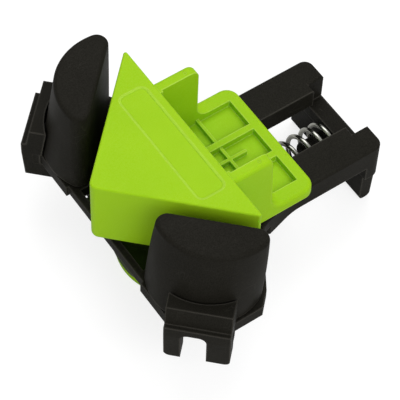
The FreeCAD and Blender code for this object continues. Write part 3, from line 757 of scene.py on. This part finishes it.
@dataclass
class RecessedScrew:
    """Pan-head screw with a cross recess, built standing on its shank's axis."""

    head_radius: float
    head_height: float
    shank_radius: float
    length: float

    segments: int = 28
    rim_share: float = 0.28
    tip_share: float = 0.72
    tip_length: float = 0.6
    recess_reach: float = 0.62
    recess_width: float = 0.24
    recess_depth: float = 0.62
    recess_turn: float = 0.3

    def mesh(self, name: str) -> Mesh:
        """Build one screw, head below the origin and shank above it.

        Args:
            name: name of the mesh.

        Returns:
            The mesh with its recess.
        """
        rim, radius, foot = self.head_height * self.rim_share, self.head_radius, -self.head_height
        profile = ((0.0, self.length), (self.shank_radius * self.tip_share, self.length),
                   (self.shank_radius, self.length - self.shank_radius * self.tip_length),
                   (self.shank_radius, 0.0), (radius, 0.0), (radius, foot + 2.0 * rim),
                   (radius - rim * 0.35, foot + rim * 0.7), (radius - rim * 1.3, foot),
                   (0.0, foot))
        screw = link_piece(name, turned_mesh(name, profile, self.segments))
        cutters = [self._cutter(name + "_cutter", turn) for turn in (0.0, QUARTER_TURN)]
        for cutter in cutters:
            add_modifier(screw, "BOOLEAN", object=cutter, operation="DIFFERENCE", solver="EXACT")
        return settled_mesh(screw, cutters)

    def _cutter(self, name: str, turn: float) -> Object:
        """Make the tapered blade that cuts one bar of the cross.

        Args:
            name: name of the object.
            turn: turn of the bar about the axis.

        Returns:
            The blade.
        """
        reach, width = self.head_radius * self.recess_reach, self.head_radius * self.recess_width
        depth = self.head_height * self.recess_depth
        blade = bmesh.new()
        bmesh.ops.create_cube(blade, size=1.0)
        for vertex in blade.verts:
            deep = vertex.co.z > 0
            vertex.co.x *= 2.0 * reach * (0.35 if deep else 1.0)
            vertex.co.y *= width * (0.75 if deep else 1.0)
            vertex.co.z = -self.head_height + (depth if deep else -0.3 * depth)
        blade.transform(Matrix.Rotation(turn + self.recess_turn, 4, "Z"))
        return link_piece(name, finished_mesh(name, blade))


def grow_row(name: str, item: Mesh, points: Sequence[Point], turn: Point,
             material: Material) -> Object:
    """Put one item at every point of a row, as one plain mesh.

    Args:
        name: name of the piece.
        item: mesh that is repeated.
        points: where the items go.
        turn: how each item is turned.
        material: finish of the items.

    Returns:
        The finished piece.
    """
    model = link_piece(name + "_model", item)
    bench, given, sink = new_group(
        "GeometryNodeTree", name + "_row", {"Geometry": None, "Turn": ORIGIN, "Size": 1.0},
        {"Geometry": None})
    shape = bench.add("GeometryNodeObjectInfo", {"Object": model})
    spots = bench.add("GeometryNodeMeshToPoints", {"Mesh": given["Geometry"]})
    placed = bench.add("GeometryNodeInstanceOnPoints", {
        "Points": spots.outputs[0], "Instance": shape.outputs["Geometry"],
        "Rotation": given["Turn"], "Scale": given["Size"]})
    tree = end_tree(bench, sink, placed.outputs[0], material)
    seed = bpy.data.meshes.new(name)
    seed.from_pydata(points, [], [])
    piece = grow(name, tree, seed, {"Turn": turn, "Size": 1.0})
    bpy.data.objects.remove(model)
    return piece


@dataclass
class ScrewSet:
    """Equal screws on one body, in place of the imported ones, whose places and sizes they take."""

    name: str
    body: Body
    nodes: Tuple[str, ...]
    head_height: float = 2.2 * MM
    shank_radius: float = 1.6 * MM
    axis: Axis = Axis.UP

    def build(self, finishes: Finishes) -> Object:
        """Grow the screws at their seats.

        Args:
            finishes: the clamp's finishes.

        Returns:
            The piece with all the screws of the set.
        """
        seats: List[Point] = []
        for node in self.nodes:
            low, high = (Vector(corner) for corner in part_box(node))
            middle = (low + high) / 2.0
            if self.axis is Axis.UP:
                seats.append((middle.x, middle.y, low.z + self.head_height))
                radius, length = (high.x - low.x) / 2.0, high.z - low.z - self.head_height
            else:
                seats.append((high.x - self.head_height, middle.y, middle.z))
                radius, length = (high.z - low.z) / 2.0, high.x - low.x - self.head_height
        screw = RecessedScrew(radius, self.head_height, self.shank_radius, length)
        turn = (0.0, 0.0 if self.axis is Axis.UP else -QUARTER_TURN, 0.0)
        piece = grow_row(self.name, screw.mesh(self.name + "_model"), seats, turn,
                         finishes.by_slot[Slot.SCREW])
        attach(piece, self.body.value)
        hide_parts(*self.nodes)
        return piece


def screw_sets() -> List[ScrewSet]:
    """List the clamp's screws.

    Returns:
        One set for each kind of screw and body.
    """
    sides = ("left", "right")
    seats = tuple("seat_screw_%s_%s" % (side, end) for side in sides for end in ("near", "far"))
    heads = tuple("head_screw_%s_%s" % (side, end) for side in sides for end in ("front", "rear"))
    return [
        ScrewSet("seat_screws", Body.FRAME, seats, head_height=1.6 * MM, shank_radius=1.25 * MM),
        ScrewSet("head_screws", Body.SLIDER, heads),
        ScrewSet("foot_screws", Body.SLIDER, ("foot_screw_front", "foot_screw_rear")),
        ScrewSet("spigot_screw", Body.FRAME, ("guide_screw",), axis=Axis.FORWARD),
    ]


@dataclass
class WitnessMarks:
    """Shallow round rings that ejector pins and gates leave on a moulding's flat faces."""

    name: str
    body: Body
    slot: Slot
    node: str
    spots: Sequence[Spot]
    from_below: bool = True
    radius: float = 2.0 * MM
    lip: float = 0.3 * MM
    height: float = 0.1 * MM

    steps: int = 36
    feel: float = 1.2
    flatness: float = 0.02 * MM
    start_below: float = -50.0 * MM
    start_above: float = 150.0 * MM

    def _seats(self, moulding: Object) -> List[Point]:
        """Find where each ring lies flat on the moulding.

        Args:
            moulding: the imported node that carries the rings.

        Returns:
            The middle of each ring whose whole rim meets one level face.
        """
        way = Vector((0.0, 0.0, 1.0 if self.from_below else -1.0))
        start = self.start_below if self.from_below else self.start_above
        reach = self.feel * self.radius
        seats: List[Point] = []
        for along, across in self.spots:
            x, y = (along + APEX_X) * MM, across * MM
            levels: List[float] = []
            for dx, dy in ((0.0, 0.0), (reach, 0.0), (-reach, 0.0), (0.0, reach), (0.0, -reach)):
                hit, place, _, _ = moulding.ray_cast(Vector((x + dx, y + dy, start)), way)
                levels.append(place.z if hit else inf)
            if max(levels) - min(levels) < self.flatness:
                seats.append((x, y, levels[0]))
            else:
                LOG.warning("%s: no flat seat at %.1f, %.1f", self.name, along, across)
        return seats

    def build(self, moulding: Object, finishes: Finishes) -> Object:
        """Grow the rings.

        Args:
            moulding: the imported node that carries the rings.
            finishes: the clamp's finishes.

        Returns:
            The piece with all the rings of the moulding.
        """
        inner, height = self.radius - self.lip, self.height
        section = ((inner, -height), (inner + 0.3 * self.lip, height),
                   (inner + 0.7 * self.lip, height), (self.radius, -height), (inner, -height))
        turn = (pi if self.from_below else 0.0, 0.0, 0.0)
        piece = grow_row(self.name, turned_mesh(self.name + "_model", section, self.steps),
                         self._seats(moulding), turn, finishes.for_node(self.node, self.slot))
        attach(piece, self.body.value)
        return piece


def both_sides(stations: Sequence[float], across: float) -> List[Spot]:
    """Spots on both sides of the middle, in millimetres, left side first."""
    return [(along, side.value * across) for side in Side for along in stations]


def witness_marks() -> List[WitnessMarks]:
    """List the witness marks of each moulding.

    Returns:
        One set for each moulding face.
    """
    arms, pads = both_sides((72.0, 88.0, 104.0), 18.0), both_sides((15.0, 28.0), 36.0)
    return [
        WitnessMarks("frame_witness_rings", Body.FRAME, Slot.BLACK, "frame", arms + pads),
        WitnessMarks("slider_witness_rings", Body.SLIDER, Slot.GREEN, CARRIER_NODE,
                     both_sides((44.0, 54.0), 18.0)),
        WitnessMarks("foot_witness_rings", Body.SLIDER, Slot.GREEN, "foot_disc",
                     both_sides((31.0, 49.0), 16.0), from_below=False, radius=1.6 * MM),
        WitnessMarks("horn_gate_marks", Body.SLIDER, Slot.GREEN, "slider_head",
                     both_sides((58.6,), 24.1), from_below=False, radius=0.7 * MM,
                     lip=0.22 * MM, height=0.05 * MM),
    ]


@dataclass
class PanelBead:
    """Rounded rim of the head's sunk panel, in a lighter green that is a painted highlight. Sizes
    are millimetres.
    """

    name: str = "panel_bead"
    front: float = 30.0
    rear: float = 42.3
    half: float = 27.5
    corner: float = 3.0
    top: float = 71.98
    depth: float = 0.38
    reach: float = 0.75
    buried: float = 0.3
    arc_steps: int = 8
    round_steps: int = 6

    def _ring(self, grow_by: float, height: float) -> List[Vector]:
        """Rounded outline of the panel, pushed outward.

        Args:
            grow_by: millimetres that the outline grows.
            height: its height.

        Returns:
            The corners in metres.
        """
        reach = self.corner + grow_by
        rear, front = self.rear - self.corner, self.front + self.corner
        left, right = self.half - self.corner, self.corner - self.half
        ring: List[Vector] = []
        corners = ((rear, left), (front, left), (front, right), (rear, right))
        for quarter, corner in enumerate(corners):
            turns = [(quarter + k / self.arc_steps) * QUARTER_TURN
                     for k in range(self.arc_steps + 1)]
            ring += [Vector(((along + APEX_X) * MM, across * MM, height * MM))
                     for along, across in arc(corner, reach, turns)]
        return ring

    def build(self, finishes: Finishes) -> Object:
        """Skin the rim and give it its lighter green, which is a painted highlight.

        Args:
            finishes: the clamp's finishes.

        Returns:
            The finished rim.
        """
        floor = self.top - self.depth
        rings = [self._ring(self.buried, floor - self.buried),
                 self._ring(-self.reach, floor - self.buried)]
        for k in range(self.round_steps + 1):
            turn = QUARTER_TURN * k / self.round_steps
            rings.append(self._ring(-self.reach * cos(turn), floor + self.depth * sin(turn)))
        rings.append(self._ring(self.buried, self.top))
        piece = ringed_solid(self.name, rings, hoop=True)
        piece.data.shade_smooth()
        # finishes.rim is the lighter green of the rim's painted highlight.
        finishes.paint(piece, finishes.rim)
        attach(piece, Body.SLIDER.value)
        return piece


@dataclass
class JawSeat:
    """Bracket behind one jaw: hollowed box, ledge, two legs and a cheek at its near end.

    Sizes are millimetres: along the head's leg from the apex, outward from the leg,
    and up from the bench. The cheek's corners are outward and up; a round is its
    middle along and outward, its radius and its height.
    """

    side: Side
    start: float = 34.6
    end: float = 59.6
    low: float = 20.5
    crown: float = 50.0
    box_in: float = 19.0
    box_out: float = 31.0
    box_foot_out: float = 32.6
    ledge_out: float = 34.55
    ledge_top: float = 41.5
    ledge_foot: float = 36.0
    leg_out: float = 33.5
    leg_in: float = 27.0
    hook_in: float = 24.0
    hook_low: float = 27.0
    pad_low: float = 29.9
    pad_high: float = 35.7
    pad_out: float = 30.2
    pad_front: float = 5.4
    cheek_end: float = 38.2
    cheek_sink: float = 0.1
    cheek: Tuple[Spot, ...] = ((22.4, 20.5), (33.3, 20.5), (33.3, 41.0), (32.4, 41.4),
                               (30.9, 49.8), (22.4, 49.8))
    leg_corner: float = 2.5
    arch_near: float = 40.9
    arch_far: float = 50.6
    arch_crown: float = 38.0
    arch_corner: float = 3.0
    jaw_gap: float = 0.9
    foot_round: Tuple[float, ...] = (44.9, 5.1, 22.8, 36.3)
    top_round: Tuple[float, ...] = (47.5, -2.2, 25.0, 74.4)
    edge: float = 0.45

    def _point(self, along: float, out: float, height: float) -> Vector:
        """Find a point in metres, given along the head's leg, outward from it and up."""
        return Vector((((along - out) / ROOT_TWO + APEX_X) * MM,
                       self.side.value * (along + out) / ROOT_TWO * MM, height * MM))

    def _prism(self, name: str, corners: List[Vector], step: Vector) -> Object:
        """Push a flat outline, in metres, along a step into a closed prism."""
        return ringed_solid(name, [corners, [corner + step for corner in corners]])

    def _along_leg(self, name: str, outline: Sequence[Spot], end: float,
                   sink: float = 0.0) -> Object:
        """Push an outline, given outward and up, along the leg.

        Args:
            name: name of the object.
            outline: its corners.
            end: where it would end along the leg if it didn't sink.
            sink: how far the whole is moved on past the bracket's near end.

        Returns:
            The closed prism.
        """
        corners = [self._point(self.start + sink, out, up) for out, up in outline]
        step = self._point(end, 0.0, 0.0) - self._point(self.start, 0.0, 0.0)
        return self._prism(name, corners, step)

    def _box(self) -> Object:
        """Make the bracket's main form: box, ledge, legs and the hook under the pad.

        Returns:
            The closed prism.
        """
        outline = ((self.hook_in, self.hook_low), (self.leg_in, self.hook_low),
                   (self.leg_in, self.low), (self.leg_out, self.low),
                   (self.ledge_out, self.ledge_foot), (self.ledge_out, self.ledge_top),
                   (self.box_foot_out, self.ledge_top), (self.box_out, self.crown),
                   (self.box_in, self.crown), (self.box_in, self.pad_high),
                   (self.pad_out, self.pad_high), (self.pad_out, self.pad_low),
                   (self.hook_in, self.pad_low))
        return self._along_leg("seat_box", outline, self.end)

    def _cheek(self) -> Object:
        """Make the cheek that closes the near end beside the pad, just inside the box."""
        return self._along_leg("seat_cheek", self.cheek, self.cheek_end, self.cheek_sink)

    def _jaw_room(self) -> Object:
        """Make the skewed round that hollows the box for the jaw's back.

        Returns:
            The closed round.
        """
        steps, below_foot = 96, -0.12
        rings: List[List[Vector]] = []
        for share in (below_foot, 1.0):
            along, out, radius, height = (
                foot + (top - foot) * share for foot, top in zip(self.foot_round, self.top_round))
            turns = [2.0 * pi * k / steps for k in range(steps)]
            rings.append([self._point(*spot, height)
                          for spot in arc((along, out), radius + self.jaw_gap, turns)])
        return ringed_solid("seat_jaw_room", rings)

    def _pad_room(self) -> Object:
        """Make the slab that keeps the bracket off the frame's pad.

        Returns:
            The closed slab.
        """
        inside, past_end = -10.0, 80.0
        lead = self.pad_front * ROOT_TWO
        outline = ((inside + lead, inside), (past_end, inside), (past_end, self.pad_out),
                   (self.pad_out + lead, self.pad_out))
        corners = [self._point(along, out, self.pad_low) for along, out in outline]
        rise = Vector((0.0, 0.0, (self.pad_high - self.pad_low) * MM))
        return self._prism("seat_pad_room", corners, rise)

    def _front_outline(self) -> Object:
        """Make the bracket's outline seen from outside: rounded lower corners and the arch.

        Returns:
            The closed prism.
        """
        over_top, inside, outside, half_turn = 60.0, 15.0, 40.0, 12
        foot, crown = self.low + self.leg_corner, self.arch_crown - self.arch_corner
        bends = ((self.start + self.leg_corner, foot, self.leg_corner, range(12, 19)),
                 (self.arch_near + self.arch_corner, crown, self.arch_corner, range(12, 5, -1)),
                 (self.arch_far - self.arch_corner, crown, self.arch_corner, range(6, -1, -1)),
                 (self.end - self.leg_corner, foot, self.leg_corner, range(18, 25)))
        ends = ([(self.arch_near, self.low)], [], [(self.arch_far, self.low)], [])
        outline = [(self.start, over_top)]
        for (middle, height, reach, turns), after in zip(bends, ends):
            outline += arc((middle, height), reach, [pi * k / half_turn for k in turns]) + after
        outline += [(self.end, over_top)]
        corners = [self._point(along, inside, up) for along, up in outline]
        step = self._point(0.0, outside, 0.0) - self._point(0.0, inside, 0.0)
        return self._prism("seat_front_outline", corners, step)

    def build(self, finishes: Finishes) -> Object:
        """Join and hollow the bracket, and soften its edges.

        Args:
            finishes: the clamp's finishes.

        Returns:
            The finished bracket.
        """
        work = self._box()
        tools = [(self._cheek(), "UNION"), (self._front_outline(), "INTERSECT"),
                 (self._jaw_room(), "DIFFERENCE"), (self._pad_room(), "DIFFERENCE")]
        for tool, operation in tools:
            add_modifier(work, "BOOLEAN", object=tool, operation=operation, solver="EXACT")
        add_modifier(work, "BEVEL", width=self.edge * MM, segments=3, limit_method="ANGLE",
                     angle_limit=radians(35.0))
        mesh = settled_mesh(work, [tool for tool, _ in tools])
        clean = bmesh.new()
        clean.from_mesh(mesh)
        bmesh.ops.dissolve_degenerate(clean, dist=0.002 * MM, edges=clean.edges)
        clean.to_mesh(mesh)
        clean.free()
        piece = link_piece("jaw_rest_%s" % self.side.name.lower(), mesh)
        finishes.paint(piece, finishes.by_slot[Slot.BLACK])
        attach(piece, Body.FRAME.value)
        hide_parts("jaw_seat_%s" % self.side.name.lower())
        return piece


@dataclass
class Mouldings:
    """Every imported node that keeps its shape, with the finish it takes."""

    black: Tuple[str, ...] = ("frame", "jaw_left", "jaw_right", "spring_guide")
    green: Tuple[str, ...] = ("slider_head", "foot_disc", CARRIER_NODE)
    washers: Tuple[str, ...] = ("jaw_washer_left", "jaw_washer_right")
    pins: Tuple[str, ...] = ("jaw_pin_left", "jaw_pin_right")

    def dress(self, nodes: Dict[str, Object], finishes: Finishes) -> None:
        """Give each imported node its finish.

        Args:
            nodes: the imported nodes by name.
            finishes: the clamp's finishes.
        """
        for names, slot in ((self.black, Slot.BLACK), (self.green, Slot.GREEN),
                            (self.washers, Slot.WASHER), (self.pins, Slot.SCREW)):
            for name in names:
                # for_node gives the slider body the darker green of painted shade.
                material = finishes.for_node(name, slot)
                finishes.paint(nodes[name], material)
                LOG.info("%s: %s", name, material.name)


@dataclass(frozen=True)
class Lamp:
    """Soft square lamp that faces the clamp: place, side in metres and power in watts."""

    name: str
    place: Point
    size: float
    power: float

    aim: Point = (0.01, 0.0, 0.04)

    def hang(self) -> None:
        """Put the lamp in the scene."""
        data = bpy.data.lights.new(self.name, "AREA")
        configure(data, shape="SQUARE", size=self.size, energy=self.power)
        way = Vector(self.aim) - Vector(self.place)
        turn = way.to_track_quat("-Z", "Y").to_matrix().to_4x4()
        link_piece(self.name, data).matrix_world = Matrix.Translation(self.place) @ turn


@dataclass
class Studio:
    """White studio: floor, soft lamps, even surround and the photograph's camera."""

    camera_place: Point = (-0.2502, -0.3507, 0.6744)
    azimuth: float = -36.6133
    elevation: float = 56.1868
    roll: float = 2.5355
    lens: float = 181.99
    sensor: float = 36.0
    clip_end: float = 20.0
    floor_half: float = 4.0
    floor_level: float = -0.3 * MM
    floor_colour: Colour = (0.72, 0.72, 0.71)
    seen_floor_colour: Colour = (0.3, 0.3, 0.3)
    floor_white: float = 0.78
    surround: float = 0.42
    mirrored_share: float = 0.3
    lamps: Tuple[Lamp, ...] = (Lamp("overhead_lamp", (0.36, 0.46, 1.10), 0.9, 7.5),
                               Lamp("left_lamp", (-1.10, -0.25, 0.60), 0.7, 1.9),
                               Lamp("front_lamp", (-0.10, -1.00, 0.92), 0.8, 8.0))

    def add_camera(self) -> None:
        """Set the camera where the photograph was taken from."""
        turn, tilt, lean = (radians(v) for v in (self.azimuth, self.elevation, self.roll))
        back = Vector((sin(turn) * cos(tilt), -cos(turn) * cos(tilt), sin(tilt)))
        right = Vector((cos(turn), sin(turn), 0.0))
        up = back.cross(right)
        leaned_right = right * cos(lean) + up * sin(lean)
        leaned_up = up * cos(lean) - right * sin(lean)
        data = bpy.data.cameras.new("photo_camera")
        configure(data, lens=self.lens, sensor_width=self.sensor, clip_end=self.clip_end)
        camera = link_piece("photo_camera", data)
        rotation = Matrix((leaned_right, leaned_up, back)).transposed().to_4x4()
        camera.matrix_world = Matrix.Translation(self.camera_place) @ rotation
        bpy.context.scene.camera = camera

    def _seen(self, bench: Bench) -> NodeSocket:
        """Share of white that a ray is shown: all to the camera and through glass, less in gloss.

        Args:
            bench: bench of the floor's or the world's tree.

        Returns:
            The share socket.
        """
        ray = bench.add("ShaderNodeLightPath").outputs
        mirrored = bench.math("MULTIPLY", ray["Is Glossy Ray"], self.mirrored_share)
        straight = bench.math("MAXIMUM", ray["Is Camera Ray"], ray["Is Transmission Ray"])
        return bench.math("MAXIMUM", straight, mirrored)

    def add_floor(self) -> None:
        """Lay the plain pale floor that keeps the clamp's shadow."""
        half, level = self.floor_half, self.floor_level
        mesh = bpy.data.meshes.new("studio_floor")
        mesh.from_pydata([(-half, -half, level), (half, -half, level), (half, half, level),
                          (-half, half, level)], [], [(0, 1, 2, 3)])
        floor = link_piece("studio_floor", mesh)
        material, bench, shader = new_material("studio_floor_white")
        seen = self._seen(bench)
        bench.fill(shader, {
            "Base Color": bench.mix_colour(seen, self.floor_colour, self.seen_floor_colour),
            "Roughness": 0.9, "Specular IOR Level": 0.1, "Emission Color": WHITE,
            "Emission Strength": bench.math("MULTIPLY", seen, self.floor_white)})
        mesh.materials.append(material)

    def add_surround(self) -> None:
        """Light the clamp evenly from all round, and show white to the camera."""
        world = bpy.data.worlds.new("studio_surround")
        world.use_nodes = True
        bpy.context.scene.world = world
        bench = Bench(world.node_tree)
        strength = bench.spread(self._seen(bench), 0.0, 1.0, self.surround, 1.0)
        bench.fill(world.node_tree.nodes["Background"], {"Color": WHITE, "Strength": strength})

    def build(self) -> None:
        """Set the whole studio up."""
        self.add_floor()
        self.add_surround()
        for lamp in self.lamps:
            lamp.hang()
        bpy.context.scene.view_settings.view_transform = "Standard"


def main() -> None:
    """Build the clamp's dress in order and report each piece."""
    logging.basicConfig(level=logging.INFO, format="%(name)s: %(message)s")
    studio = Studio()
    studio.add_camera()
    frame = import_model()
    finishes = Finishes()
    Mouldings().dress(frame["nodes"], finishes)
    pieces = [marks.build(frame["nodes"][marks.node], finishes) for marks in witness_marks()]
    pieces += [ReturnSpring().build(finishes), PanelBead().build(finishes)]
    pieces += [JawSeat(side).build(finishes) for side in Side]
    pieces += [row.build(finishes) for row in screw_sets()]
    for piece in pieces:
        LOG.info("%s: %d faces", piece.name, len(piece.data.polygons))
    studio.build()


if __name__ == "__main__":
    main()
